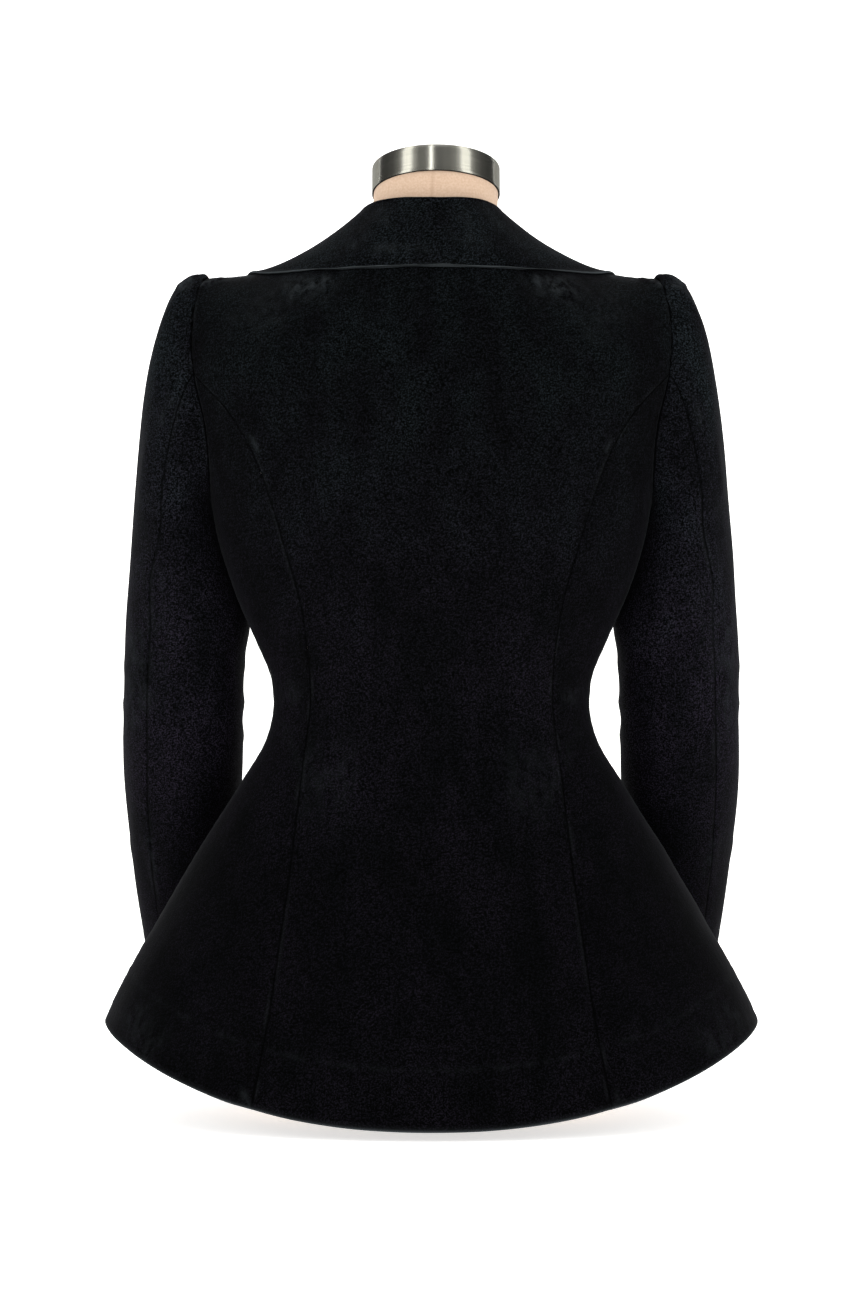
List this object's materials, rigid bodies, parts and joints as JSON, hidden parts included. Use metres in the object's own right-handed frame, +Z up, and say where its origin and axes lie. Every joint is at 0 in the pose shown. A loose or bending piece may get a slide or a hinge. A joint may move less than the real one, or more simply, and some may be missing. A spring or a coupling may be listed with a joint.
{
  "type": "velvet jacket on a limbless dress form",
  "caption": "Fitted black velvet jacket with a wide shawl collar, puffed sleeve heads and a flared, dipped skirt, worn on a limbless dress form with a steel neck cap.",
  "frame": {"origin": "on the floor, at the middle of the dress form's flat base", "axes": "+Z up, -Y the way the jacket's front faces, +X the wearer's left"},
  "size_m": [0.5542, 0.3811, 0.8147],
  "materials": {
    "velvet": "matte pile with a soft rim sheen",
    "form_cloth": "matte plain weave",
    "steel": "brushed"
  },
  "bodies": {
    "root": {"back": "velvet", "side_back_left": "velvet", "side_back_right": "velvet", "side_front_left": "velvet", "side_front_right": "velvet", "front_left": "velvet", "front_right": "velvet", "top_sleeve_left": "velvet", "top_sleeve_right": "velvet", "under_sleeve_left": "velvet", "under_sleeve_right": "velvet", "collar": "velvet", "form_torso": "form_cloth", "neck_cap": "steel"}
  },
  "joints": []
}
